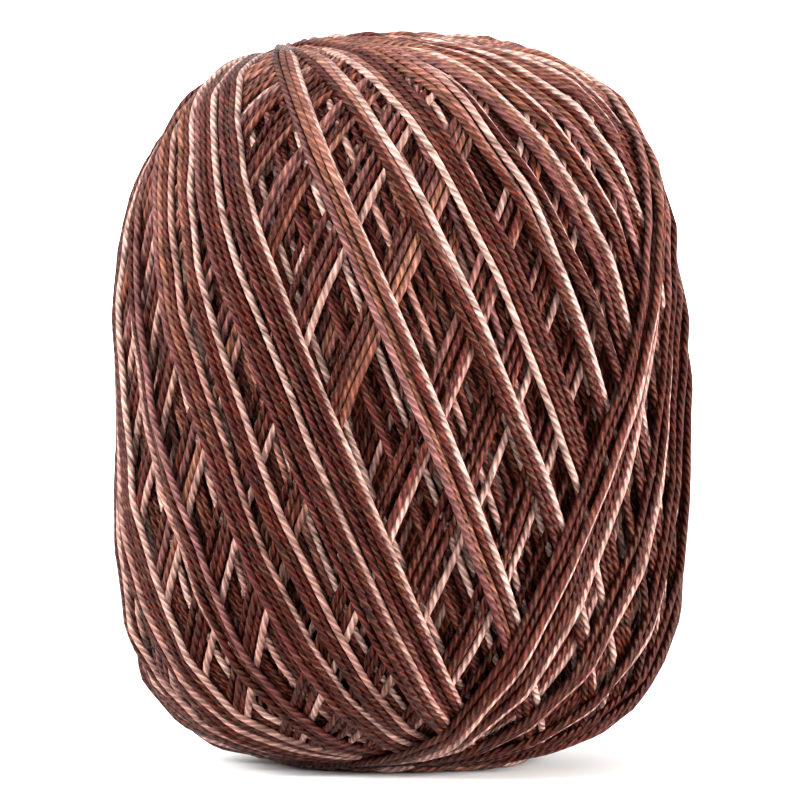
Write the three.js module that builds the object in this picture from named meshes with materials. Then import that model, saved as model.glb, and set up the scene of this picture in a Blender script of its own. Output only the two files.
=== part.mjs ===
// A ball of cotton crochet thread, wound on a spindle that has since been drawn out.
// One thread goes round and round the ball in tilted loops. Each loop falls to the right down one side, turns round
// the core hole at the bottom, rises to the right up the other side and turns round the hole at the top.
// Neighbouring loops lie side by side in bands, and each band lies over the older bands that it crosses.
// Millimetres, +Z up. The origin is under the middle of the ball, on the surface it rests on. The front faces -Y.

import * as THREE from 'three';

// Size of the ball
const HEIGHT = 100;
const RADIUS = 40.1;
const WIDEST_LEVEL = 46;
const SHOULDER_SQUARENESS = 3.1;
const FOOT_SQUARENESS = 3.6;

// Ends of the ball: a crest round a dimple, and the hole that the spindle left
const HOLE_RADIUS = 6.2;
const CREST_RADIUS = 13;
const DIMPLE_DEPTH = 10;
const REST_INNER_RADIUS = 9.5;
const REST_OUTER_RADIUS = 16;

// The thread and its winding. EDGE_ROUNDING is the share of a turn that a band's round edges take off its width.
const THREAD_WIDTH = 1;
const EDGE_ROUNDING = 0.4;
const TURNING_RADIUS = 17;
const HALF_LOOP_SWEEP = 180;
const SECOND_LAYER_DEPTH = 1.2;
const PIT_DEPTH = 2.8;
const FULL_RELIEF_RADIUS = 30;

// Bands of the last lap, newest first. azimuth: where the band's falling half crosses the widest level, in degrees
// to the right of the front. turns: how many turns lie side by side in the band.
const BANDS = [
  { azimuth: -129.5, turns: 8 },
  { azimuth: -113.5, turns: 4 },
  { azimuth: -99.3, turns: 4 },
  { azimuth: -83.4, turns: 4 },
  { azimuth: -75.4, turns: 4 },
  { azimuth: -59.5, turns: 4 },
  { azimuth: -40.7, turns: 4 },
  { azimuth: -34.5, turns: 3 },
  { azimuth: -25, turns: 4 },
  { azimuth: -17.5, turns: 4 },
  { azimuth: 3.5, turns: 4 },
  { azimuth: 20.5, turns: 3 },
  { azimuth: 33, turns: 4 },
  { azimuth: 41.8, turns: 3 },
  { azimuth: 47.8, turns: 3 },
  { azimuth: 55.3, turns: 4 },
  { azimuth: 63.8, turns: 3 },
  { azimuth: 75, turns: 4 },
  { azimuth: 87, turns: 4 },
  { azimuth: 98, turns: 4 },
  { azimuth: 111, turns: 4 },
  { azimuth: 125, turns: 4 },
  { azimuth: 139, turns: 4 },
  { azimuth: 153, turns: 4 },
  { azimuth: 169, turns: 4 },
  { azimuth: 187, turns: 4 },
  { azimuth: 202, turns: 4 },
  { azimuth: 216, turns: 4 },
];

// Mesh, angles in degrees: lines follow each band, and rings of their crossings fill the ball between two levels
// near its rims. The trough of a gap wider than WIDE_GAP has a flat floor between the two shares of it given here.
const WIDE_GAP = 9;
const TROUGH_FLOOR = [0.3, 0.7];
const RIM_SWEEP = 55;
const HOLE_SIDES = 28;
const DIMPLE_RINGS = 4;
const MERIDIAN_STEP = 0.05;

const degrees = THREE.MathUtils.radToDeg;
const radians = THREE.MathUtils.degToRad;

// Point of the side's meridian at a turn t from the widest level, t running from -90 degrees (top) to 90 (bottom)
function meridian(t) {
  const c = Math.cos(t);
  const s = Math.abs(Math.sin(t));
  const above = t < 0;
  const power = 2 / (above ? SHOULDER_SQUARENESS : FOOT_SQUARENESS);
  const reach = above ? HEIGHT - WIDEST_LEVEL : WIDEST_LEVEL;
  return { r: RADIUS * c ** power, z: WIDEST_LEVEL + (above ? 1 : -1) * reach * s ** power };
}

// Walks the meridian away from the widest level and notes how far a taut thread has swept round the ball at each
// point. On a taut thread r * cos(angle to the circle) stays equal to the radius of the circle where it turns.
function sweepTable(side) {
  const rows = [{ sweep: 0, r: RADIUS, z: WIDEST_LEVEL }];
  let sweep = 0;
  let before = rows[0];
  for (let t = MERIDIAN_STEP; t < 90; t += MERIDIAN_STEP) {
    const point = meridian(radians(side * t));
    const r = (point.r + before.r) / 2;
    if (point.r <= TURNING_RADIUS * 1.001) break;
    const length = Math.hypot(point.r - before.r, point.z - before.z);
    sweep += (TURNING_RADIUS / (r * Math.sqrt(r * r - TURNING_RADIUS ** 2))) * length;
    rows.push({ sweep: side * degrees(sweep), r: point.r, z: point.z });
    before = point;
  }
  return rows;
}

const above = sweepTable(-1);
const below = sweepTable(1);

// Point and outward normal of the meridian where a thread has swept the given angle from the widest level
function placeAt(sweep) {
  const table = sweep < 0 ? above : below;
  const target = (Math.abs(sweep) / (HALF_LOOP_SWEEP / 2)) * Math.abs(table.at(-1).sweep);
  let row = table.findIndex((entry) => Math.abs(entry.sweep) >= target);
  row = Math.max(row < 0 ? table.length - 1 : row, 1);
  const a = table[row - 1];
  const b = table[row];
  const share = (target - Math.abs(a.sweep)) / (Math.abs(b.sweep) - Math.abs(a.sweep));
  const along = new THREE.Vector2(b.r - a.r, b.z - a.z).normalize();
  const normal = sweep < 0 ? new THREE.Vector2(along.y, -along.x) : new THREE.Vector2(-along.y, along.x);
  return { r: a.r + share * (b.r - a.r), z: a.z + share * (b.z - a.z), normal };
}

// The lines of each band: its two edges, and the trough between it and the next older band, which has a flat
// floor between two lines where the bands lie wide apart
function bandLines() {
  const slant = Math.atan(TURNING_RADIUS / Math.sqrt(RADIUS ** 2 - TURNING_RADIUS ** 2));
  const turnAngle = degrees(THREAD_WIDTH / Math.cos(slant) / RADIUS);
  const edges = BANDS.map(({ azimuth, turns }) => {
    const half = ((turns - EDGE_ROUNDING) * turnAngle) / 2;
    return { left: azimuth - half, right: azimuth + half };
  });
  return edges.flatMap(({ left, right }, i) => {
    const gap = (i + 1 < edges.length ? edges[i + 1].left : edges[0].left + 360) - right;
    const floor = gap > WIDE_GAP ? TROUGH_FLOOR : [0.5];
    return [
      { azimuth: left, raised: true },
      { azimuth: right, raised: true },
      ...floor.map((share) => ({ azimuth: right + share * gap, raised: false })),
    ];
  });
}

const lines = bandLines();

// Line n of the endless row that goes round the ball, with its azimuth carried on past each full turn
function line(n) {
  const order = ((n % lines.length) + lines.length) % lines.length;
  return { ...lines[order], order, azimuth: lines[order].azimuth + 360 * Math.floor(n / lines.length) };
}

// Where falling line i crosses rising line j: how far round and how far down the ball, and how deep it lies.
// The newer line, of the lower order, is on top.
function crossing(i, j) {
  const falling = line(i);
  const rising = line(j);
  const risingAzimuth = rising.azimuth + HALF_LOOP_SWEEP;
  const azimuth = (falling.azimuth + risingAzimuth) / 2;
  const place = placeAt((risingAzimuth - falling.azimuth) / 2);
  const [upper, lower] = falling.order < rising.order ? [falling, rising] : [rising, falling];
  let depth = PIT_DEPTH;
  if (lower.raised) depth = SECOND_LAYER_DEPTH;
  if (upper.raised) depth = 0;
  depth *= THREE.MathUtils.smoothstep(place.r, TURNING_RADIUS, FULL_RELIEF_RADIUS);
  return { azimuth, r: place.r - depth * place.normal.x, z: place.z - depth * place.normal.y };
}

// A vertex at an azimuth in degrees to the right of the front
function vertex({ azimuth, r, z }) {
  const angle = radians(azimuth);
  return [r * Math.sin(angle), -r * Math.cos(angle), z];
}

// Rings of crossings that cover the side of the ball, from the top rim down to the bottom rim
function sideRings() {
  const middle = Math.round((HALF_LOOP_SWEEP / 360) * lines.length);
  const reach = Math.round(((2 * RIM_SWEEP) / 360) * lines.length);
  const offsets = Array.from({ length: 2 * reach + 1 }, (_, k) => k - reach - middle);
  return offsets.map((offset) => lines.map((_, i) => crossing(i, i + offset)));
}

// A level circle below or above the ring given, with as many vertices as it or fewer
function circle(ring, r, z, sides = ring.length) {
  const share = ring.length / sides;
  return Array.from({ length: sides }, (_, k) => ({ azimuth: ring[Math.ceil(k * share)].azimuth, r, z }));
}

// Rings of a dimple: a quarter of an ellipse from its crest to the edge of the hole, way being -1 down and 1 up
function dimpleRings(ring, crestRadius, level, way) {
  return Array.from({ length: DIMPLE_RINGS }, (_, k) => {
    const turn = (((k + 1) / DIMPLE_RINGS) * Math.PI) / 2;
    const r = crestRadius - (crestRadius - HOLE_RADIUS) * Math.sin(turn);
    const z = level + way * DIMPLE_DEPTH * (1 - Math.cos(turn));
    return circle(ring, r, z, HOLE_SIDES);
  });
}

function ballGeometry() {
  const side = sideRings();
  const top = side[0];
  const bottom = side.at(-1);
  const all = [
    ...dimpleRings(top, CREST_RADIUS, HEIGHT, -1).reverse(),
    circle(top, CREST_RADIUS, HEIGHT),
    circle(top, TURNING_RADIUS, placeAt(-HALF_LOOP_SWEEP / 2).z),
    ...side,
    circle(bottom, REST_OUTER_RADIUS, 0),
    circle(bottom, REST_INNER_RADIUS, 0),
    ...dimpleRings(bottom, REST_INNER_RADIUS, 0, 1),
  ];
  const positions = [];
  const starts = all.map((ring) => {
    const start = positions.length / 3;
    ring.forEach((entry) => positions.push(...vertex(entry)));
    return start;
  });
  const faces = [];
  all.forEach((upper, n) => {
    const next = (n + 1) % all.length;
    const shift = next === 0 ? nearest(all[0], upper[0].azimuth) : 0;
    stitch(faces, starts[n], upper.length, starts[next], all[next].length, shift);
  });
  const geometry = new THREE.BufferGeometry();
  geometry.setAttribute('position', new THREE.Float32BufferAttribute(positions, 3));
  geometry.setIndex(faces);
  geometry.computeVertexNormals();
  return geometry;
}

// Index of the ring's vertex whose azimuth is nearest to the given one
function nearest(ring, azimuth) {
  const apart = ring.map((entry) => -Math.cos(radians(entry.azimuth - azimuth)));
  return apart.indexOf(Math.min(...apart));
}

// Joins two neighbouring rings with triangles that face out. The rings may have different numbers of vertices, and
// vertex 0 of the upper one meets vertex shift of the lower one.
function stitch(faces, upperStart, upperCount, lowerStart, lowerCount, shift) {
  const count = Math.max(upperCount, lowerCount);
  const up = (n) => upperStart + (Math.floor((n * upperCount) / count) % upperCount);
  const down = (n) => lowerStart + ((Math.floor((n * lowerCount) / count) + shift) % lowerCount);
  for (let i = 0; i < count; i += 1) {
    if (up(i) !== up(i + 1)) faces.push(up(i), down(i), up(i + 1));
    if (down(i) !== down(i + 1)) faces.push(up(i + 1), down(i), down(i + 1));
  }
}

const cotton = new THREE.MeshStandardMaterial({ color: '#7a4438', roughness: 0.9, metalness: 0 });

const ball = new THREE.Mesh(ballGeometry(), cotton);
ball.name = 'ball';

const group = new THREE.Group();
group.add(ball);

export default group;
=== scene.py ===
import bpy
import numpy as np
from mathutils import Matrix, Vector


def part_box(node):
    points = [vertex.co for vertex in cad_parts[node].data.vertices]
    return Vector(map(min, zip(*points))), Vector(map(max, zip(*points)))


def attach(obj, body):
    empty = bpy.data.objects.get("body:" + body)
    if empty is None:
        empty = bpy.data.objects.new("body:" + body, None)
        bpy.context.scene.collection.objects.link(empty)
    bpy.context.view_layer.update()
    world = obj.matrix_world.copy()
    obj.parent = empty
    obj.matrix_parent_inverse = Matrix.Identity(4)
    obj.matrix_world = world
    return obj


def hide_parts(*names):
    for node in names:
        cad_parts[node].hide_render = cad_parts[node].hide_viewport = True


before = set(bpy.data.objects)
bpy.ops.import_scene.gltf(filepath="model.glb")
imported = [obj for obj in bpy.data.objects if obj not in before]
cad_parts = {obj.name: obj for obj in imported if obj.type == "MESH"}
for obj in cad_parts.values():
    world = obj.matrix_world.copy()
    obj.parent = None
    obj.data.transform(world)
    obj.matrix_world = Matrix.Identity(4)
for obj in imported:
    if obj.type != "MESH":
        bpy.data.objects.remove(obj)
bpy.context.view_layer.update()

# The camera: a long lens on a level with the middle of the ball, straight at its front, as in the photograph. The
# ball fills 726 of the 800 pixels of the picture's height.
PICTURE_SIDE = 800
BALL_PIXELS = 726
CAMERA_DISTANCE = 0.6
CAMERA_RISE = 0.004
SENSOR = 36.0
low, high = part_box("ball")
centre = (low + high) / 2
seen_height = (high.z - low.z) * PICTURE_SIDE / BALL_PIXELS
camera_data = bpy.data.cameras.new("camera")
camera_data.sensor_width = SENSOR
camera_data.lens = SENSOR * CAMERA_DISTANCE / seen_height
camera_data.clip_start = 0.01
camera_data.clip_end = 20
camera = bpy.data.objects.new("camera", camera_data)
camera.location = (0, -CAMERA_DISTANCE, centre.z + CAMERA_RISE)
camera.rotation_euler = (Vector((0, 0, centre.z)) - camera.location).to_track_quat("-Z", "Y").to_euler()
bpy.context.scene.collection.objects.link(camera)
bpy.context.scene.camera = camera
bpy.context.scene.view_settings.view_transform = "Standard"


# The studio: a white painted floor that curves up into a low round wall, a soft lamp at each side of the camera, a
# weak one above, and white light from all round.
def to_linear(hex_colour):
    """Turns an sRGB hex colour into linear red, green, blue and alpha."""
    values = [int(hex_colour[i : i + 2], 16) / 255 for i in (1, 3, 5)]
    return [v / 12.92 if v <= 0.04045 else ((v + 0.055) / 1.055) ** 2.4 for v in values] + [1.0]


def add_node(tree, kind, inputs=None, stops=None, **attributes):
    """Adds a node to a tree and gives its outputs. attributes are the node's own, stops are the positions and hex
    colours of a colour ramp, and each input, by name or number, takes a value or a link from an output."""
    node = tree.nodes.new(kind)
    for name, value in attributes.items():
        setattr(node, name, value)
    for number, (position, colour) in enumerate(stops or []):
        elements = node.color_ramp.elements
        stop = elements.new(position) if number > 1 else elements[number]
        stop.position = position
        stop.color = to_linear(colour)
    for socket, value in (inputs or {}).items():
        if isinstance(value, bpy.types.NodeSocket):
            tree.links.new(value, node.inputs[socket])
        else:
            node.inputs[socket].default_value = value
    return node.outputs


def new_material(name):
    """An empty material, and its tree."""
    material = bpy.data.materials.new(name)
    material.use_nodes = True
    material.node_tree.nodes.clear()
    return material, material.node_tree


def new_object(name, mesh, material):
    """An object of a mesh and a material, in the scene."""
    mesh.materials.append(material)
    thing = bpy.data.objects.new(name, mesh)
    bpy.context.scene.collection.objects.link(thing)
    return thing


def turned_mesh(name, radius, level, sides, closed):
    """A profile turned round the ball's axis: a ring of vertices at each radius and level, each ring joined to the
    next one, and the last ring to the first where the profile is closed."""
    around = np.arange(sides) / sides * 2 * np.pi
    rings = np.stack(
        [
            radius[:, None] * np.sin(around),
            -radius[:, None] * np.cos(around),
            np.repeat(level[:, None], sides, axis=1),
        ],
        axis=-1,
    )
    strips = len(radius) if closed else len(radius) - 1
    ring, place = np.meshgrid(np.arange(strips), np.arange(sides), indexing="ij")
    next_ring = (ring + 1) % len(radius)
    next_place = (place + 1) % sides
    corners = [(ring, place), (next_ring, place), (next_ring, next_place), (ring, next_place)]
    quads = np.stack([row * sides + column for row, column in corners], axis=-1)
    mesh = bpy.data.meshes.new(name)
    mesh.from_pydata(rings.reshape(-1, 3).tolist(), [], quads.reshape(-1, 4).tolist())
    mesh.polygons.foreach_set("use_smooth", [True] * len(mesh.polygons))
    return mesh


FLOOR_RADIUS = 2.2
WALL_HEIGHT = 1.6
FLOOR_SIDES = 96
bend = np.linspace(0, np.pi / 2, 17)
wall_radius = np.concatenate([[0.001, 0.5, 1.4], FLOOR_RADIUS + WALL_HEIGHT * np.sin(bend)])
wall_level = np.concatenate([[0, 0, 0], WALL_HEIGHT * (1 - np.cos(bend))])
floor_mesh = turned_mesh("studio_floor", wall_radius, wall_level, FLOOR_SIDES, closed=False)

# Matt white wall paint: no gloss, a trace of roller texture
paint, tree = new_material("matt_white_paint")
roller = add_node(tree, "ShaderNodeTexNoise", {"Scale": 400.0, "Detail": 3.0})
relief = add_node(tree, "ShaderNodeBump", {"Strength": 0.05, "Distance": 0.001, "Height": roller[0]})
finish = {"Base Color": to_linear("#f4f3f1"), "Roughness": 0.9, "Specular IOR Level": 0.2, "Normal": relief[0]}
surface = add_node(tree, "ShaderNodeBsdfPrincipled", finish)
add_node(tree, "ShaderNodeOutputMaterial", {"Surface": surface[0]})
studio_floor = new_object("studio_floor", floor_mesh, paint)

# A panel of white acrylic behind the ball, lit from behind: an even white glow
PANEL_DISTANCE = 1.2
PANEL_HALF_WIDTH = 0.35
PANEL_HEIGHT = 0.5
panel_mesh = bpy.data.meshes.new("backdrop_panel")
panel_outline = [(-PANEL_HALF_WIDTH, 0), (PANEL_HALF_WIDTH, 0)]
panel_outline += [(PANEL_HALF_WIDTH, PANEL_HEIGHT), (-PANEL_HALF_WIDTH, PANEL_HEIGHT)]
panel_mesh.from_pydata([(x, PANEL_DISTANCE, z) for x, z in panel_outline], [], [(0, 1, 2, 3)])
acrylic, tree = new_material("backlit_white_acrylic")
finish = {"Base Color": to_linear("#f4f4f4"), "Emission Color": to_linear("#ffffff"), "Emission Strength": 1.0}
surface = add_node(tree, "ShaderNodeBsdfPrincipled", finish)
add_node(tree, "ShaderNodeOutputMaterial", {"Surface": surface[0]})
backdrop_panel = new_object("backdrop_panel", panel_mesh, acrylic)

world = bpy.data.worlds.new("white_room")
world.use_nodes = True
world.node_tree.nodes["Background"].inputs["Color"].default_value = to_linear("#ffffff")
world.node_tree.nodes["Background"].inputs["Strength"].default_value = 1.05
bpy.context.scene.world = world

LAMPS = [
    # name, place, width, power in watts
    ("key_lamp", (-0.95, -0.45, 0.6), 0.6, 27.0),
    ("top_lamp", (-0.1, 0.05, 1.2), 0.5, 7.0),
    ("fill_lamp", (1.05, -0.45, 0.25), 0.6, 38.0),
]
for name, place, width, power in LAMPS:
    lamp_data = bpy.data.lights.new(name, "AREA")
    lamp_data.size = width
    lamp_data.energy = power
    lamp = bpy.data.objects.new(name, lamp_data)
    lamp.location = place
    lamp.rotation_euler = (centre - Vector(place)).to_track_quat("-Z", "Y").to_euler()
    bpy.context.scene.collection.objects.link(lamp)

# The outer turns: plied, mercerised cotton thread wound round and round the ball under tension. Each turn falls to
# the right down one side of the ball and rises to the right up the other. Three or four turns lie side by side in a
# band, and the bands work their way round to the left, each over the older bands that it crosses. All lengths here
# are in millimetres until the mesh is made.
MM = 0.001
HEIGHT = (high.z - low.z) / MM
RADIUS = (high.x - low.x) / 2 / MM
WIDEST_LEVEL = 0.46 * HEIGHT
SHOULDER_SQUARENESS = 3.1
FOOT_SQUARENESS = 3.6
MERIDIAN_STEP = 0.01
SMOOTHED_STEPS = 101
THREAD_WIDTH = 1.0
TURN_ANGLE = np.radians(1.6)
TURNS_IN_BAND = 4
TURNING_RADIUS = 17.0
HALF_STEPS = 520
STEPS = 2 * HALF_STEPS

# Where the falling half of each band of the last lap crosses the widest level, newest first, in degrees to the right
# of the front. A few bands have three turns, and in two of them the palest turn is the one on the left.
LAST_LAP = [-132.7, -126.3, -113.5, -99.3, -83.4, -75.4, -59.5, -40.7, -34.5, -25, -17.5, 3.5, 20.5, 33, 41.8, 47.8]
LAST_LAP += [55.3, 63.8, 75, 87, 98, 111, 125, 139, 153, 169, 187, 202, 216]
PALE_ON_LEFT = [-59.5, 33]
BANDS_OF_THREE = [-34.5, 20.5, 41.8, 47.8, 63.8]

# Older laps lie unevenly. Past this azimuth a band's turns are laid further apart, by a factor in this range.
OLDER_LAPS = 2
UNEVEN_GAPS = (0.75, 1.35)
LOOSE_AFTER = np.radians(70)
LOOSENESS = (1.1, 1.6)

# Each older lap turned a little nearer to the hole, and no two bands at quite the same distance from it. A band
# wanders more to its sides than a single turn does beside its neighbours.
LAP_SHRINK = 0.9
TURNING_SPREAD = 0.35
BAND_WANDER = 0.5
BAND_WAVES = 4
TURN_WANDER = 0.18
TURN_WAVES = 12
LEAST_WANDER_REACH = 9

# Turns of a band spread where they would lie closer than this share of the thread's width, but not beside the
# turning point. The step over to the next turn's place takes the last part of the way.
CLOSEST = 0.84
MOST_SPREAD = 0.9
SPREAD_START = 6
STEP_OVER_FROM = 0.93
STEP_OVER_SHARE = 0.07

rng = np.random.default_rng(7)


def meridian():
    """The ball's half outline from the top of its axis to the bottom, every 0.01 mm: two superellipse quarters that
    meet at the widest level. Gives the length along it, radius, level, outward normal and its two curvatures."""
    t = np.linspace(-np.pi / 2, np.pi / 2, 40001)
    power = np.where(t < 0, 2 / SHOULDER_SQUARENESS, 2 / FOOT_SQUARENESS)
    reach = np.where(t < 0, HEIGHT - WIDEST_LEVEL, WIDEST_LEVEL)
    r = RADIUS * np.abs(np.cos(t)) ** power
    z = WIDEST_LEVEL - np.sign(t) * reach * np.abs(np.sin(t)) ** power
    length = np.concatenate([[0], np.cumsum(np.hypot(np.diff(r), np.diff(z)))])
    v = np.arange(0, length[-1], MERIDIAN_STEP)
    r, z = np.interp(v, length, r), np.interp(v, length, z)
    smooth = np.ones(SMOOTHED_STEPS) / SMOOTHED_STEPS
    slope_r = np.convolve(np.gradient(r, v), smooth, "same")
    slope_z = np.convolve(np.gradient(z, v), smooth, "same")
    size = np.hypot(slope_r, slope_z)
    normal = np.stack([-slope_z, slope_r], axis=-1) / size[:, None]
    angle = np.unwrap(np.arctan2(normal[:, 1], normal[:, 0]))
    bend_down = np.convolve(-np.gradient(angle, v), smooth, "same")
    bend_round = normal[:, 0] / np.maximum(r, 1)
    return {"v": v, "r": r, "z": z, "normal": normal, "bend_down": bend_down, "bend_round": bend_round}


side = meridian()


def half_turn(turning_radius):
    """A taut thread's way from its turning point at the top to the one at the bottom, at even steps of length: the
    length down the meridian and the azimuth, from -90 to 90 degrees, and the whole length. On a taut thread the
    radius times the cosine of its angle to the circle stays equal to the turning radius."""
    on = side["r"] > turning_radius
    v, r = side["v"][on], side["r"][on]
    middle = (r[1:] + r[:-1]) / 2
    root = np.sqrt(middle**2 - turning_radius**2)
    azimuth = np.concatenate([[0], np.cumsum(turning_radius / (middle * root) * np.diff(v))])
    length = np.concatenate([[0], np.cumsum(middle / root * np.diff(v))])
    azimuth = np.pi * (azimuth / azimuth[-1] - 0.5)
    even = np.linspace(0, length[-1], HALF_STEPS + 1)[:-1]
    return np.interp(even, length, v), np.interp(even, length, azimuth), length[-1]


def band_azimuths():
    """Where every band crosses the widest level, oldest first: seeded uneven laps, then the last lap's own row."""
    rows = [np.radians(LAST_LAP)]
    for lap in range(1, OLDER_LAPS + 1):
        gaps = rng.uniform(*UNEVEN_GAPS, len(LAST_LAP) - 1)
        places = np.concatenate([[0], np.cumsum(gaps)]) / (gaps.sum() + 1) * 2 * np.pi
        rows.append(np.radians(LAST_LAP[0]) + 2 * np.pi * lap + places)
    return np.concatenate(rows)[::-1]


def wander(turns, size, waves):
    """A slow sideways wander in millimetres along each of several turns: a sum of sine waves of random phase."""
    way = np.linspace(0, 2 * np.pi, STEPS, endpoint=False)
    total = np.zeros((turns, STEPS))
    for wave in range(1, waves + 1):
        phase = rng.uniform(0, 2 * np.pi, (turns, 1))
        total += size / wave * rng.normal(0, 1, (turns, 1)) * np.sin(wave * way + phase)
    return total


def lay_turns():
    """The way of every turn, as arrays of turns by steps: the length down the meridian and the azimuth. A band's
    turns spread a little where they would crowd near the rims, and the thread steps over to the next turn's place
    while it rounds the top. Also gives each turn's turning radius, the length of half of it, and its number."""
    bands = band_azimuths()
    counts = np.where(np.isin(bands, np.radians(BANDS_OF_THREE)), 3, TURNS_IN_BAND)
    band = np.repeat(np.arange(len(bands)), counts)
    order_in_band = np.arange(len(band)) - (np.cumsum(counts) - counts)[band]
    to_right = np.where(np.isin(bands, np.radians(PALE_ON_LEFT)), -1, 1)[band]
    looseness = np.where(bands > LOOSE_AFTER, rng.uniform(*LOOSENESS, len(bands)), 1)[band]
    offset = to_right * ((counts[band] - 1) / 2 - order_in_band) * looseness
    offset = (offset + (looseness - 1) * rng.uniform(-1, 1, len(band))) * TURN_ANGLE
    age = np.arange(len(band))[::-1] / (len(LAST_LAP) * TURNS_IN_BAND)
    radius = TURNING_RADIUS - LAP_SHRINK * np.floor(age) + rng.normal(0, TURNING_SPREAD, len(bands))[band]
    ways = [half_turn(c) for c in radius]
    down = np.stack([way[0] for way in ways])
    azimuth = np.stack([way[1] for way in ways])
    # the last step of the falling half is one step short of the turning point, where the rising half starts
    lower = slice(len(side["r"]) - 1, len(side["r"]) * 3 // 4, -1)
    bottom = np.interp(radius, side["r"][lower], side["v"][lower])
    rising = np.concatenate([bottom[:, None], down[:, :0:-1]], axis=1)
    v = np.concatenate([down, rising], axis=1)
    turned = np.concatenate([np.full((len(radius), 1), np.pi / 2), np.pi - azimuth[:, :0:-1]], axis=1)
    swept = np.concatenate([azimuth, turned], axis=1)
    r = np.interp(v, side["v"], side["r"])
    reach = np.sqrt(np.maximum(r**2 - radius[:, None] ** 2, 0.01))
    crowding = np.clip(CLOSEST * THREAD_WIDTH / (reach * TURN_ANGLE) - 1, 0, MOST_SPREAD)
    spread = 1 + crowding * np.clip((r - radius[:, None]) / SPREAD_START, 0, 1)
    sideways = wander(len(bands), BAND_WANDER, BAND_WAVES)[band] + wander(len(band), TURN_WANDER, TURN_WAVES)
    drift = sideways / np.maximum(reach, LEAST_WANDER_REACH)
    place = bands[band][:, None] + offset[:, None] * spread + swept + drift
    step_over = np.append(np.diff(bands[band] + offset), 0)
    late = np.clip((np.arange(STEPS) / STEPS - STEP_OVER_FROM) / STEP_OVER_SHARE, 0, 1)
    place += step_over[:, None] * late**2 * (3 - 2 * late)
    return v, place, radius, np.array([way[2] for way in ways]), band * TURNS_IN_BAND + order_in_band


turn_v, turn_azimuth, turn_radius, half_length, turn_number = lay_turns()
TURN_LENGTH = 2 * float(half_length.mean())

# The map of the surface's height that the turns are laid on. Its rows are this far apart and reach a little inside
# the turning points.
CELL = 0.25
CELLS_ROUND = 1280
MAP_MARGIN = 5

# A turn is felt at 9 places across its width. Where the turns lie apart it keeps this share of its round height, and
# ever less of it where they crowd.
ACROSS_PLACES = 9
FELT_WIDTH = 0.97
MIDDLE_PLACES = slice(2, 7)
ROUND_SHARE = 0.78
LEAST_ROOM = 0.15
CROWDING_POWER = 1.8

# What counts as the broad shape of the map, as a full row of it, as a crest, and as near
BROAD_ANGLE = np.radians(15)
FULL_ROW = 0.97
CREST_PERCENT = 96
NEAR_ROWS = 10


def taut(contact, bulge):
    """The height of a thread pulled tight over what it touches: the upper hull of the touching heights, measured
    against the ball's own curve, whose height along the way is the bulge."""
    level = contact - bulge
    hull = [0, 1]
    values = level.tolist()
    for n in range(2, len(values)):
        while len(hull) > 1:
            a, b = hull[-2], hull[-1]
            if (values[b] - values[a]) * (n - b) <= (values[n] - values[b]) * (b - a):
                hull.pop()
            else:
                break
        hull.append(n)
    return np.interp(np.arange(len(values)), hull, level[hull]) + bulge


def level_out(field):
    """The height to take off each cell of the map, so that the crests of the bands meet the ball's own face all over:
    the map's broad rise and fall, and the usual height of the crests of each row over that."""
    full = np.flatnonzero((field > 0).mean(axis=1) > FULL_ROW)
    field = field[np.clip(np.arange(len(field)), full[0], full[-1])]
    waves = np.arange(CELLS_ROUND // 2 + 1)
    blur = np.exp(-((waves * BROAD_ANGLE) ** 2) / 2)
    broad = np.fft.irfft(np.fft.rfft(field, axis=1) * blur, n=CELLS_ROUND, axis=1)
    near = np.clip(np.arange(len(field))[:, None] + np.arange(-NEAR_ROWS, NEAR_ROWS + 1), 0, len(field) - 1)
    broad = broad[near].mean(axis=1)
    crests = np.percentile(field - broad, CREST_PERCENT, axis=1)
    return broad + crests[near].mean(axis=1)[:, None]


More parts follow.
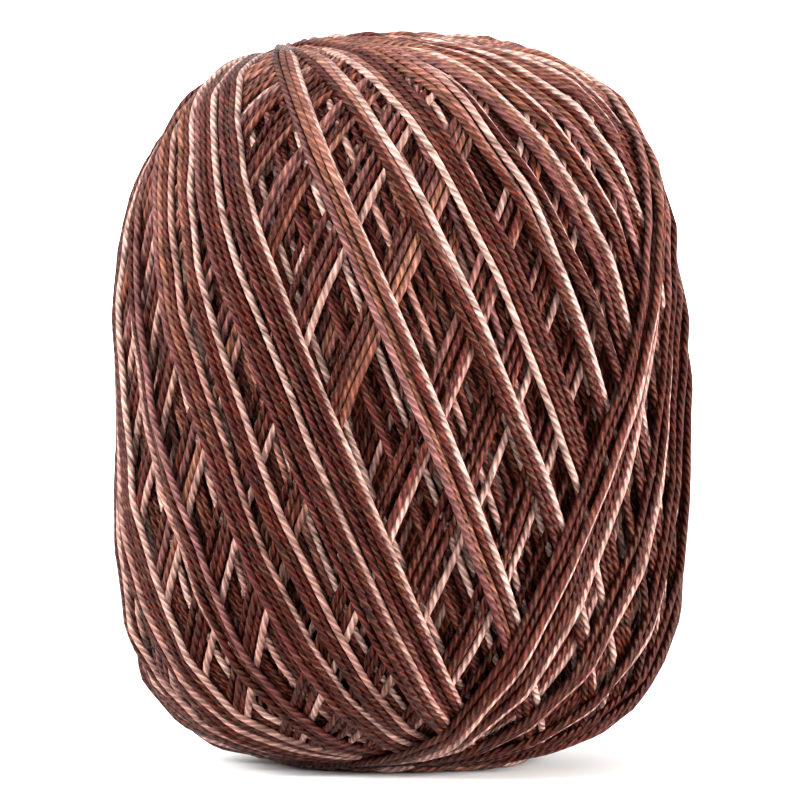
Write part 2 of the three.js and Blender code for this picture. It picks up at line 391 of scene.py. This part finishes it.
def wind():
    """Lays the turns one after another on a map of the height of the surface, and gives each step's height over the
    ball's face, how much of it can be seen at the end, and the share of its round height that it keeps. A turn
    touches the highest of what lies under its middle, is pulled taut, and then raises the map under it."""
    inside = side["r"] > TURNING_RADIUS - MAP_MARGIN
    first, last = side["v"][inside][0], side["v"][inside][-1]
    rows = int((last - first) / CELL) + 1
    heights = np.zeros(rows * CELLS_ROUND)
    newest = np.full(rows * CELLS_ROUND, -1)
    half = THREAD_WIDTH / 2
    across = np.linspace(-half, half, ACROSS_PLACES) * FELT_WIDTH
    probes = across[MIDDLE_PLACES]
    r = np.interp(turn_v, side["v"], side["r"])
    sine = np.clip(turn_radius[:, None] / r, 0, 1)
    cosine = np.sqrt(1 - sine**2)
    falling = np.where(np.arange(STEPS) < HALF_STEPS, 1.0, -1.0)
    room = np.sqrt(np.maximum(r**2 - turn_radius[:, None] ** 2, 1))
    widest_room = np.sqrt(RADIUS**2 - TURNING_RADIUS**2)
    roundness = ROUND_SHARE * np.clip(room / widest_room, LEAST_ROOM, 1) ** CROWDING_POWER
    bend_down = np.interp(turn_v, side["v"], side["bend_down"])
    bend_round = np.interp(turn_v, side["v"], side["bend_round"])
    curve = bend_down * cosine**2 + bend_round * sine**2
    step = TURN_LENGTH / STEPS
    bulge = np.cumsum(np.cumsum(curve, axis=1), axis=1) * step**2
    height = np.zeros_like(turn_v)

    def cells(turn, offsets):
        """Map cells beside each step of a turn, at the given distances to its left."""
        lift = turn_v[turn][:, None] - falling[:, None] * sine[turn][:, None] * offsets
        turned = turn_azimuth[turn][:, None] + cosine[turn][:, None] * offsets / r[turn][:, None]
        row = np.clip(((lift - first) / CELL).astype(int), 0, rows - 1)
        column = (turned / (2 * np.pi) * CELLS_ROUND).astype(int) % CELLS_ROUND
        return row * CELLS_ROUND + column

    rounding = np.sqrt(half**2 - across**2)
    for turn in range(len(turn_v)):
        under = heights[cells(turn, probes)] + rounding[MIDDLE_PLACES] * roundness[turn][:, None]
        height[turn] = taut(under.max(axis=1), bulge[turn])
        crown = height[turn][:, None] + rounding * roundness[turn][:, None]
        covered = cells(turn, across).ravel()
        np.maximum.at(heights, covered, crown.ravel())
        newest[covered] = turn
    seen = np.stack([(newest[cells(turn, across)] == turn).mean(axis=1) for turn in range(len(turn_v))])
    spare = level_out(heights.reshape(rows, CELLS_ROUND)).ravel()
    middle = across[ACROSS_PLACES // 2 : ACROSS_PLACES // 2 + 1]
    height -= np.stack([spare[cells(turn, middle)[:, 0]] for turn in range(len(turn_v))])
    return height, seen, roundness


turn_height, turn_seen, turn_roundness = wind()

# The thread's mesh: 8 sides, a little flattened by its neighbours, swelling by a fortieth at these waves a turn
SIDES = 8
THICKNESS_SHARE = 0.95
WIDTH_SHARE = 0.97
SWELL = 0.025
SWELL_WAVES = (61.3, 97.7, 143.1)
LOWEST_MIDDLE = 0.95 * THREAD_WIDTH / 2


def on_ball(v, azimuth, height):
    """Places and outward normals at a length down the meridian, an azimuth and a height over the ball's face."""
    r, z = np.interp(v, side["v"], side["r"]), np.interp(v, side["v"], side["z"])
    outward = np.interp(v, side["v"], side["normal"][:, 0])
    upward = np.interp(v, side["v"], side["normal"][:, 1])
    reach = r + outward * height
    level = np.maximum(z + upward * height, LOWEST_MIDDLE)
    places = np.stack([reach * np.sin(azimuth), -reach * np.cos(azimuth), level], axis=-1)
    normals = np.stack([outward * np.sin(azimuth), -outward * np.cos(azimuth), upward], axis=-1)
    return places, normals


def thread_mesh(name, places, normals, along, starts):
    """A mesh of thread stretches: a ring of vertices round each place, in the plane of the outward normal and the
    sideways direction, joined to the next place's ring, with a flat cap at both ends of each stretch. starts marks
    the first place of each stretch. The map named turn holds the way along the thread and round it."""
    ends = np.append(starts[1:], True)
    ahead = np.where(ends[:, None], places, np.roll(places, -1, axis=0))
    behind = np.where(starts[:, None], places, np.roll(places, 1, axis=0))
    tangent = ahead - behind
    tangent /= np.linalg.norm(tangent, axis=1)[:, None]
    outward = normals - (normals * tangent).sum(axis=1)[:, None] * tangent
    outward /= np.linalg.norm(outward, axis=1)[:, None]
    beside = np.cross(tangent, outward)
    angle = np.arange(SIDES) / SIDES * 2 * np.pi
    swell = sum(np.sin(2 * np.pi * along * waves + waves) for waves in SWELL_WAVES)
    half = (THREAD_WIDTH / 2 * (1 + SWELL * swell))[:, None, None]
    ring = np.cos(angle)[None, :, None] * outward[:, None] * half * THICKNESS_SHARE
    ring = ring + np.sin(angle)[None, :, None] * beside[:, None] * half * WIDTH_SHARE
    vertices = (places[:, None] + ring) * MM
    joined = np.flatnonzero(~ends)
    a = joined[:, None] * SIDES + np.arange(SIDES)
    b = joined[:, None] * SIDES + (np.arange(SIDES) + 1) % SIDES
    walls = np.stack([a, b, b + SIDES, a + SIDES], axis=-1).reshape(-1, 4)
    first_caps = np.flatnonzero(starts)[:, None] * SIDES + np.arange(SIDES)[::-1]
    last_caps = np.flatnonzero(ends)[:, None] * SIDES + np.arange(SIDES)
    corners = np.concatenate([walls.ravel(), first_caps.ravel(), last_caps.ravel()])
    sizes = np.concatenate([np.full(len(walls), 4), np.full(len(first_caps) + len(last_caps), SIDES)])
    mesh = bpy.data.meshes.new(name)
    mesh.vertices.add(len(places) * SIDES)
    mesh.vertices.foreach_set("co", vertices.astype(np.float32).ravel())
    mesh.loops.add(len(corners))
    mesh.loops.foreach_set("vertex_index", corners.astype(np.int32))
    mesh.polygons.add(len(sizes))
    mesh.polygons.foreach_set("loop_start", np.concatenate([[0], np.cumsum(sizes)[:-1]]).astype(np.int32))
    mesh.polygons.foreach_set("use_smooth", np.ones(len(sizes), bool))
    round_it = np.broadcast_to((np.arange(SIDES)[:, None] + [0, 1, 1, 0]) / SIDES, (len(joined), SIDES, 4))
    way = np.stack([along[joined], along[joined], along[joined + 1], along[joined + 1]], axis=-1)
    wall_map = np.stack([np.repeat(way[:, None], SIDES, axis=1), round_it], axis=-1)
    caps = np.concatenate([np.flatnonzero(starts), np.flatnonzero(ends)])
    cap_map = np.stack([np.repeat(along[caps], SIDES), np.zeros(len(caps) * SIDES)], axis=-1)
    turn_map = mesh.uv_layers.new(name="turn")
    whole_map = np.concatenate([wall_map.reshape(-1, 2), cap_map])
    turn_map.uv.foreach_set("vector", whole_map.astype(np.float32).ravel())
    mesh.update(calc_edges=True)
    mesh.validate()
    return mesh


# Mercerised cotton thread of three plies, space-dyed: the colour changes every 0.3 m or so, and the row of colours
# comes back after four turns of the ball, so the palest stretch lies at the right-hand edge of nearly every band.
# The plies show as a row of slanting silky beads along the thread, one every 1.45 mm. Each ply took the dye a little
# differently, so a tan or rust bead lies beside a dark one; the tint lies only on the crest of each ply, partly that
# dye and partly a painted highlight.
PLY_MARK = 1.45
PLIES = 3.0
cotton, tree = new_material("mercerised_cotton_thread")
turn_map = add_node(tree, "ShaderNodeUVMap", uv_map="turn")
split = add_node(tree, "ShaderNodeSeparateXYZ", {0: turn_map[0]})
along, round_thread = split["X"], split["Y"]

# The plies: how far a place is round the twist, how high it stands on its ply, and a row of noise for each ply.
# The twist is a little uneven. A turn of the ball is 311 mm long, so 40 waves a turn are one every 8 mm.
way = add_node(tree, "ShaderNodeMath", {0: along, 1: 40.0}, operation="MULTIPLY")
at = add_node(tree, "ShaderNodeCombineXYZ", {"X": way[0], "Y": 5.0})
uneven = add_node(tree, "ShaderNodeTexNoise", {"Vector": at[0], "Scale": 1.0, "Detail": 1.0})
uneven = add_node(tree, "ShaderNodeMath", {0: uneven[0], 1: 2.2}, operation="MULTIPLY")
marks = add_node(tree, "ShaderNodeMath", {0: along, 1: TURN_LENGTH / PLY_MARK, 2: uneven[0]}, operation="MULTIPLY_ADD")
ply_way = add_node(tree, "ShaderNodeMath", {0: round_thread, 1: PLIES, 2: marks[0]}, operation="MULTIPLY_ADD")
ply_share = add_node(tree, "ShaderNodeMath", {0: ply_way[0]}, operation="FRACT")
off_middle = add_node(tree, "ShaderNodeMath", {0: ply_share[0], 1: 2 * np.pi, 2: -np.pi}, operation="MULTIPLY_ADD")
ply_wave = add_node(tree, "ShaderNodeMath", {0: off_middle[0]}, operation="COSINE")
ply_height = add_node(tree, "ShaderNodeMath", {0: ply_wave[0], 1: 0.5, 2: 0.5}, operation="MULTIPLY_ADD")
bead = add_node(tree, "ShaderNodeMath", {0: ply_height[0], 1: 1.5}, operation="POWER")
whole_plies = add_node(tree, "ShaderNodeMath", {0: ply_way[0]}, operation="FLOOR")
ply_number = add_node(tree, "ShaderNodeMath", {0: whole_plies[0], 1: PLIES}, operation="FLOORED_MODULO")
ply_row = add_node(tree, "ShaderNodeMath", {0: ply_number[0], 1: 5.3}, operation="MULTIPLY")

# The dyes: the share of their repeat of four turns, shifted a little by a slow unevenness and a quicker one. The
# lighter stops at a quarter, a half and three quarters fall where a turn rounds the top of the ball: partly dye,
# partly painted light from above.
way = add_node(tree, "ShaderNodeMath", {0: along, 1: 0.23}, operation="MULTIPLY")
at = add_node(tree, "ShaderNodeCombineXYZ", {"X": way[0], "Y": 7.0})
slow_warp = add_node(tree, "ShaderNodeTexNoise", {"Vector": at[0], "Scale": 1.0, "Detail": 1.0})
slow_warp = add_node(tree, "ShaderNodeMath", {0: slow_warp[0], 1: 0.34, 2: -0.24}, operation="MULTIPLY_ADD")
way = add_node(tree, "ShaderNodeMath", {0: along, 1: 1.1}, operation="MULTIPLY")
at = add_node(tree, "ShaderNodeCombineXYZ", {"X": way[0], "Y": 3.0})
warp = add_node(tree, "ShaderNodeTexNoise", {"Vector": at[0], "Scale": 1.0, "Detail": 1.0})
warp = add_node(tree, "ShaderNodeMath", {0: warp[0], 1: 0.14, 2: slow_warp[0]}, operation="MULTIPLY_ADD")
repeats = add_node(tree, "ShaderNodeMath", {0: along, 1: 1 / TURNS_IN_BAND, 2: warp[0]}, operation="MULTIPLY_ADD")
dye_share = add_node(tree, "ShaderNodeMath", {0: repeats[0]}, operation="FRACT")
DYES_AND_TOP_LIGHT = [
    (0.0, "#c29c91"),
    (0.05, "#b59085"),
    (0.125, "#96695f"),
    (0.16, "#b0887e"),
    (0.2, "#ad8177"),
    (0.225, "#6b3628"),
    (0.25, "#8d5f53"),
    (0.275, "#4c1d16"),
    (0.33, "#340d08"),
    (0.375, "#370f08"),
    (0.42, "#4f221d"),
    (0.465, "#4a1f18"),
    (0.5, "#845644"),
    (0.535, "#3c140d"),
    (0.58, "#2f0c06"),
    (0.64, "#310c07"),
    (0.69, "#3a140e"),
    (0.75, "#855956"),
    (0.79, "#4f2423"),
    (0.84, "#451d18"),
    (0.88, "#2f0c07"),
    (0.955, "#38120c"),
    (0.98, "#845650"),
    (1.0, "#c29c91"),
]
dyed_and_top_lit = add_node(tree, "ShaderNodeValToRGB", {0: dye_share[0]}, DYES_AND_TOP_LIGHT)

# The beads: a trace of another dye on the crest of each ply, a new one every 4 mm. Laid on the crests only, it is
# partly a painted highlight.
BEAD_DYES_AND_HIGHLIGHTS = [(0.36, "#8a4450"), (0.45, "#8d3f2e"), (0.53, "#b0603c"), (0.62, "#cfa07a")]
way = add_node(tree, "ShaderNodeMath", {0: along, 1: 75.0}, operation="MULTIPLY")
bead_row = add_node(tree, "ShaderNodeMath", {0: ply_row[0], 1: 40.0}, operation="ADD")
at = add_node(tree, "ShaderNodeCombineXYZ", {"X": way[0], "Y": bead_row[0]})
bead_dye = add_node(tree, "ShaderNodeTexNoise", {"Vector": at[0], "Scale": 1.0, "Detail": 1.0})
bead_dye_and_highlight = add_node(tree, "ShaderNodeValToRGB", {0: bead_dye[0]}, BEAD_DYES_AND_HIGHLIGHTS)
bead_dye_and_highlight_strength = add_node(tree, "ShaderNodeMath", {0: bead[0], 1: 0.07}, operation="MULTIPLY")
blended = {"Factor": bead_dye_and_highlight_strength[0], 6: dyed_and_top_lit[0], 7: bead_dye_and_highlight[0]}
coloured = add_node(tree, "ShaderNodeMix", blended, data_type="RGBA", blend_type="MIX")

# Light and dark: each ply changes tone every 3 mm, and painted shade darkens the grooves between the plies while their
# crests are painted a little lighter
way = add_node(tree, "ShaderNodeMath", {0: along, 1: 100.0}, operation="MULTIPLY")
at = add_node(tree, "ShaderNodeCombineXYZ", {"X": way[0], "Y": ply_row[0]})
tone = add_node(tree, "ShaderNodeTexNoise", {"Vector": at[0], "Scale": 1.0, "Detail": 2.0})
tone = add_node(tree, "ShaderNodeMath", {0: tone[0], 1: 2.8, 2: -0.5}, operation="MULTIPLY_ADD")
tone = add_node(tree, "ShaderNodeMath", {0: tone[0], 1: 0.35}, operation="MAXIMUM")
painted_groove_shade_range = {"Value": bead[0], "From Min": 0.0, "From Max": 1.0, "To Min": 0.55, "To Max": 1.18}
painted_groove_shade_and_crest_light = add_node(tree, "ShaderNodeMapRange", painted_groove_shade_range)
shade = add_node(tree, "ShaderNodeMath", {0: tone[0], 1: painted_groove_shade_and_crest_light[0]}, operation="MULTIPLY")
shaded = add_node(tree, "ShaderNodeVectorMath", {0: coloured[2], "Scale": shade[0]}, operation="SCALE")

# Relief: the round of each ply, and fine fibres that follow the twist
fibre_way = add_node(tree, "ShaderNodeMath", {0: marks[0], 1: 0.6}, operation="MULTIPLY")
fibre_side = add_node(tree, "ShaderNodeMath", {0: ply_way[0], 1: 9.0}, operation="MULTIPLY")
at = add_node(tree, "ShaderNodeCombineXYZ", {"X": fibre_way[0], "Y": fibre_side[0]})
fibres = add_node(tree, "ShaderNodeTexNoise", {"Vector": at[0], "Scale": 1.0, "Detail": 2.0})
relief_height = add_node(tree, "ShaderNodeMath", {0: fibres[0], 1: 0.15, 2: ply_height[0]}, operation="MULTIPLY_ADD")
relief = add_node(tree, "ShaderNodeBump", {"Strength": 1.0, "Distance": 0.2 * MM, "Height": relief_height[0]})
finish = {"Base Color": shaded[0], "Roughness": 0.4, "Specular IOR Level": 0.2, "Specular Tint": to_linear("#e4b4ac")}
surface = add_node(tree, "ShaderNodeBsdfPrincipled", {**finish, "Normal": relief[0]})
add_node(tree, "ShaderNodeOutputMaterial", {"Surface": surface[0]})

# The seen stretches of the turns, in ten pieces from the oldest to the newest. Every seventh step has a ring of
# vertices, and a stretch goes on for 11 steps out of sight. Heights are evened out over a few steps, and hidden
# steps sink where the turns are crowded.
EVERY = 7
MARGIN = 11
PIECES = 10
SUNK_BY = 0.5
HEIGHT_WINDOW = 7
HIDDEN_WINDOW = 9


def running_mean(values, window):
    """The mean of the values in an odd window round each one, with the first and last values repeated beyond."""
    return np.convolve(np.pad(values, window // 2, "edge"), np.ones(window) / window, "valid")


pressed = 1 - turn_roundness.ravel() / turn_roundness.max()
step_v = turn_v.ravel()
step_azimuth = turn_azimuth.ravel()
hidden = running_mean(1 - turn_seen.ravel(), HIDDEN_WINDOW)
step_height = running_mean(turn_height.ravel(), HEIGHT_WINDOW) - SUNK_BY * hidden * pressed
step_height -= THREAD_WIDTH / 2 * pressed
step_along = (turn_number[:, None] + np.arange(STEPS) / STEPS).ravel()
near_seen = np.convolve(turn_seen.ravel() > 0, np.ones(2 * MARGIN + 1), "same") > 0
with_ring = np.arange(len(step_v)) % EVERY == 0
kept = np.flatnonzero(with_ring & near_seen)
share = np.linspace(0, len(kept), PIECES + 1).astype(int)
for number in range(PIECES):
    part = kept[share[number] : share[number + 1]]
    starts = np.concatenate([[True], np.diff(part) > EVERY])
    alone = starts & np.append(starts[1:], True)
    part, starts = part[~alone], starts[~alone]
    places, normals = on_ball(step_v[part], step_azimuth[part], step_height[part])
    name = f"outer_turns_{number + 1:02d}"
    piece = new_object(name, thread_mesh(name, places, normals, step_along[part], starts), cotton)
    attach(piece, "root")

# The ends of the ball: older turns of the same thread, laid while the ball was smaller, round the core hole. Each
# row of them turns at its own distance from the axis, every one over the next, and the row outside it covers its ends.
CREST_RADIUS = 13.0
HOLE_RADIUS = 6.2
DIMPLE_DEPTH = 10.0
REST_RADIUS = 9.5
ROW_STEP = 0.72
OUTERMOST_ROW = 16.3
INNERMOST_ROW = HOLE_RADIUS + 0.75
STRETCH_SPACING = 4.6
STRETCH_OVERLAP = 2.4
PLACE_STEP = 1.0
AZIMUTH_SPREAD = 0.06
DISTANCE_SPREAD = 0.14

# How deep a stretch's middle line lies under the end's face: a base, a lean along the stretch that holds as far as
# this from its middle, and a fall away from the circle that grows with the distance beyond it
BASE_DEPTH = 0.5
CHORD_TILT = 0.14
TILT_REACH = 3.5
FALL_SLOPE = 0.2
FALL_BEND = 0.35


def end_face(c, crest, top):
    """Levels and normals of an end of the ball at distances c from the axis: the rim's own curve outside the crest,
    and a quarter of an ellipse down to the edge of the hole inside it."""
    turn = np.arcsin(np.clip((crest - c) / (crest - HOLE_RADIUS), 0, 1))
    sunk = DIMPLE_DEPTH * (1 - np.cos(turn))
    outward, upward = -DIMPLE_DEPTH * np.sin(turn), (crest - HOLE_RADIUS) * np.cos(turn)
    size = np.hypot(outward, upward)
    count = len(side["r"]) // 2
    rim = np.interp(c, side["r"][:count], side["z"][:count]) if top else np.zeros_like(c)
    level = np.where(c > crest, rim, HEIGHT - sunk if top else sunk)
    return level, outward / size, upward / size * (1 if top else -1)


def end_row(c, crest, top):
    """The stretches of one row of an end: each a straight line that touches the row's circle, of radius c. Its middle
    lies on the end's face, it leans so that one half passes over the next stretch, and it sinks away from the
    circle. Gives places, normals, the way along the thread, and where the stretches start."""
    count = int(round(2 * np.pi * c / STRETCH_SPACING))
    azimuth = np.arange(count) / count * 2 * np.pi + rng.uniform(0, 2 * np.pi)
    azimuth += rng.normal(0, AZIMUTH_SPREAD, count)
    reach = np.sqrt((c + STRETCH_OVERLAP) ** 2 - c**2)
    s = np.arange(-reach, reach + PLACE_STEP / 2, PLACE_STEP)
    own = (c + rng.normal(0, DISTANCE_SPREAD, count))[:, None]
    x = own * np.sin(azimuth)[:, None] + s * np.cos(azimuth)[:, None]
    y = -own * np.cos(azimuth)[:, None] + s * np.sin(azimuth)[:, None]
    radius = np.hypot(x, y)
    beyond = radius - own
    level, outward, upward = end_face(own, crest, top)
    deep = THREAD_WIDTH / 2 * 0.98 + FALL_SLOPE * beyond + FALL_BEND * beyond**2
    deep = deep - CHORD_TILT * np.clip(s, -TILT_REACH, TILT_REACH) + BASE_DEPTH
    push = 1 + outward * deep / radius
    lifted = np.maximum(level - upward * deep, LOWEST_MIDDLE)
    places = np.stack([x * push, y * push, lifted], axis=-1)
    normals = np.stack([outward * x / radius, outward * y / radius, np.broadcast_to(upward, radius.shape)], axis=-1)
    along = rng.integers(0, TURNS_IN_BAND) + np.arange(count)[:, None] + s / TURN_LENGTH
    starts = np.broadcast_to(s == s[0], radius.shape)
    return places.reshape(-1, 3), normals.reshape(-1, 3), along.ravel(), starts.ravel()


for name, crest, top in (("top_turns", CREST_RADIUS, True), ("bottom_turns", REST_RADIUS, False)):
    rows = [end_row(c, crest, top) for c in np.arange(OUTERMOST_ROW, INNERMOST_ROW, -ROW_STEP)]
    places, normals, along, starts = [np.concatenate(group) for group in zip(*rows)]
    piece = new_object(name, thread_mesh(name, places, normals, along, starts), cotton)
    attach(piece, "root")

# The oldest turns, under all of these: the rest of the ball, wound tight on a spindle that has since been drawn out.
# They are seen only deep in the gaps and on the wall of the core hole, so one closed surface stands for them, with
# the crossing turns drawn on it.
DEPTH_OF_OLDEST_TURNS = 5.6
UNDER_ENDS = 2.0
WALL_RADIUS = 6.7
WALL_END = 11
WALL_RINGS = 14
BODY_SIDES = 120
end_radius = np.linspace(7.4, 15.5, 12)
top_level, top_out, top_up = end_face(end_radius, CREST_RADIUS, True)
foot_level, foot_out, foot_up = end_face(end_radius, REST_RADIUS, False)
middle = np.flatnonzero(side["r"] > 19)
side_steps = middle[np.linspace(0, len(middle) - 1, 60).astype(int)]
normal = side["normal"][side_steps]
body_radius = np.concatenate(
    [
        np.full(WALL_RINGS, WALL_RADIUS),
        end_radius - top_out * UNDER_ENDS,
        side["r"][side_steps] - normal[:, 0] * DEPTH_OF_OLDEST_TURNS,
        (end_radius - foot_out * UNDER_ENDS)[::-1],
    ]
)
body_level = np.concatenate(
    [
        np.linspace(WALL_END, HEIGHT - WALL_END, WALL_RINGS),
        top_level - top_up * UNDER_ENDS,
        side["z"][side_steps] - normal[:, 1] * DEPTH_OF_OLDEST_TURNS,
        (foot_level - foot_up * UNDER_ENDS)[::-1],
    ]
)
oldest_mesh = turned_mesh("oldest_turns", body_radius * MM, body_level * MM, BODY_SIDES, closed=True)

# Old, shaded cotton thread in crossing turns, drawn as two sets of slanting ridges: dark, soft, no shine. A ridge
# comes every 2.7 mm of height, coarser than the thread so that it shows, 176 of them go round the outside, about
# 1.2 mm apart, and 30 round the wall of the hole.
RIDGE_RADIANS_PER_MM = 2.3
RIDGES_ROUND_WALL = 30.0
MORE_RIDGES_OUTSIDE = 146.0
oldest, tree = new_material("oldest_cotton_turns")
where = add_node(tree, "ShaderNodeTexCoord")
split = add_node(tree, "ShaderNodeSeparateXYZ", {0: where["Object"]})
bearing = add_node(tree, "ShaderNodeMath", {0: split["X"], 1: split["Y"]}, operation="ARCTAN2")
flat = add_node(tree, "ShaderNodeCombineXYZ", {"X": split["X"], "Y": split["Y"]})
from_axis = add_node(tree, "ShaderNodeVectorMath", {0: flat[0]}, operation="LENGTH")
outside = add_node(tree, "ShaderNodeMath", {0: from_axis["Value"], 1: 15 * MM}, operation="GREATER_THAN")
counted = {0: outside[0], 1: MORE_RIDGES_OUTSIDE, 2: RIDGES_ROUND_WALL}
ridges_round = add_node(tree, "ShaderNodeMath", counted, operation="MULTIPLY_ADD")
turned = add_node(tree, "ShaderNodeMath", {0: bearing[0], 1: ridges_round[0]}, operation="MULTIPLY")
climb = add_node(tree, "ShaderNodeMath", {0: split["Z"], 1: RIDGE_RADIANS_PER_MM / MM}, operation="MULTIPLY")
ridges = []
for slant in (1.0, -1.0):
    way = add_node(tree, "ShaderNodeMath", {0: turned[0], 1: slant, 2: climb[0]}, operation="MULTIPLY_ADD")
    ridges.append(add_node(tree, "ShaderNodeMath", {0: way[0]}, operation="SINE")[0])
woven = add_node(tree, "ShaderNodeMath", dict(enumerate(ridges)), operation="MAXIMUM")
relief = add_node(tree, "ShaderNodeBump", {"Strength": 1.0, "Distance": 0.4 * MM, "Height": woven[0]})
share_up = add_node(tree, "ShaderNodeMath", {0: woven[0], 1: 0.5, 2: 0.5}, operation="MULTIPLY_ADD")
# The colour runs from dark between the ridges to lighter on their tops: painted shade in the troughs.
OLD_DYES_AND_TROUGH_SHADE = [(0.3, "#521a0f"), (0.75, "#74301f"), (1.0, "#8f4a3a")]
colour = add_node(tree, "ShaderNodeValToRGB", {0: share_up[0]}, OLD_DYES_AND_TROUGH_SHADE)
finish = {"Base Color": colour[0], "Roughness": 0.9, "Specular IOR Level": 0.2, "Normal": relief[0]}
surface = add_node(tree, "ShaderNodeBsdfPrincipled", finish)
add_node(tree, "ShaderNodeOutputMaterial", {"Surface": surface[0]})
oldest_turns = new_object("oldest_turns", oldest_mesh, oldest)
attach(oldest_turns, "root")
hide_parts("ball")
